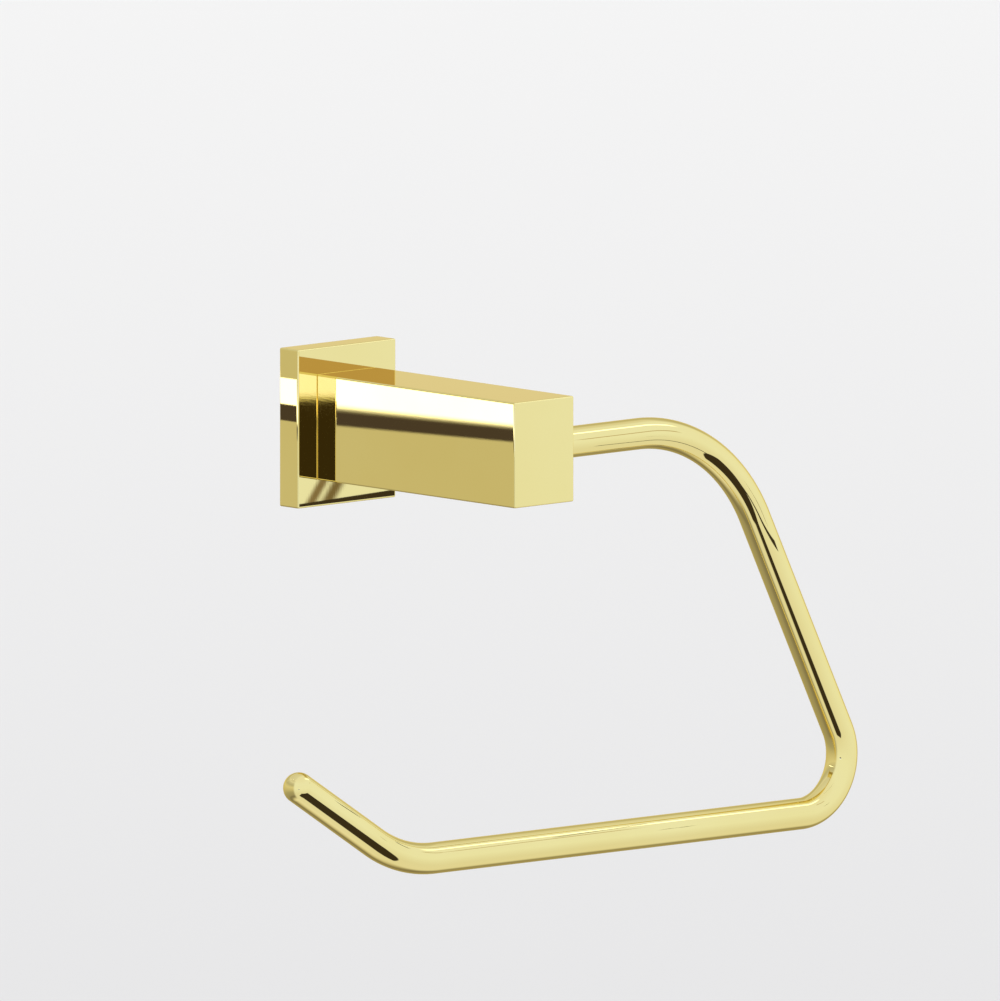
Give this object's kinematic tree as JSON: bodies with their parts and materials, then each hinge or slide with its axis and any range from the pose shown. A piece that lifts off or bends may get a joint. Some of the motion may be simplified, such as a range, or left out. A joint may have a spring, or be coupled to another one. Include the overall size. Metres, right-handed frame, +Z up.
{
  "type": "toilet paper holder",
  "caption": "Wall-mounted open toilet paper holder: rectangular plate and post with a bent round bar that hangs from the post's side and swings.",
  "frame": {"origin": "centre of the wall plate's back face, on the wall", "axes": "+X to the right along the bar, +Y into the wall (the post stands out along -Y), +Z up"},
  "size_m": [0.1909, 0.0795, 0.1241],
  "materials": {
    "polished_brass": "mirror polished and lacquered",
    "plated_steel": "zinc plated",
    "screw_steel": "plain stainless",
    "bush_plastic": "natural acetal"
  },
  "bodies": {
    "holder": {"wall_bracket": "plated_steel", "wall_plate": "polished_brass", "post": "polished_brass", "post_screw": "screw_steel", "lock_washer": "plated_steel", "locating_pins": "screw_steel", "plate_lock_screw": "screw_steel", "inner_bush": "bush_plastic", "outer_bush": "bush_plastic", "keeper_screw": "screw_steel"},
    "bar": {"roll_bar": "polished_brass"}
  },
  "joints": [
    {"name": "bar_swing", "type": "hinge", "parent": "holder", "child": "bar", "pos_m": [0, -0.0695, 0], "axis": [-1, 0, 0], "range_deg": [-20, 90]}
  ]
}
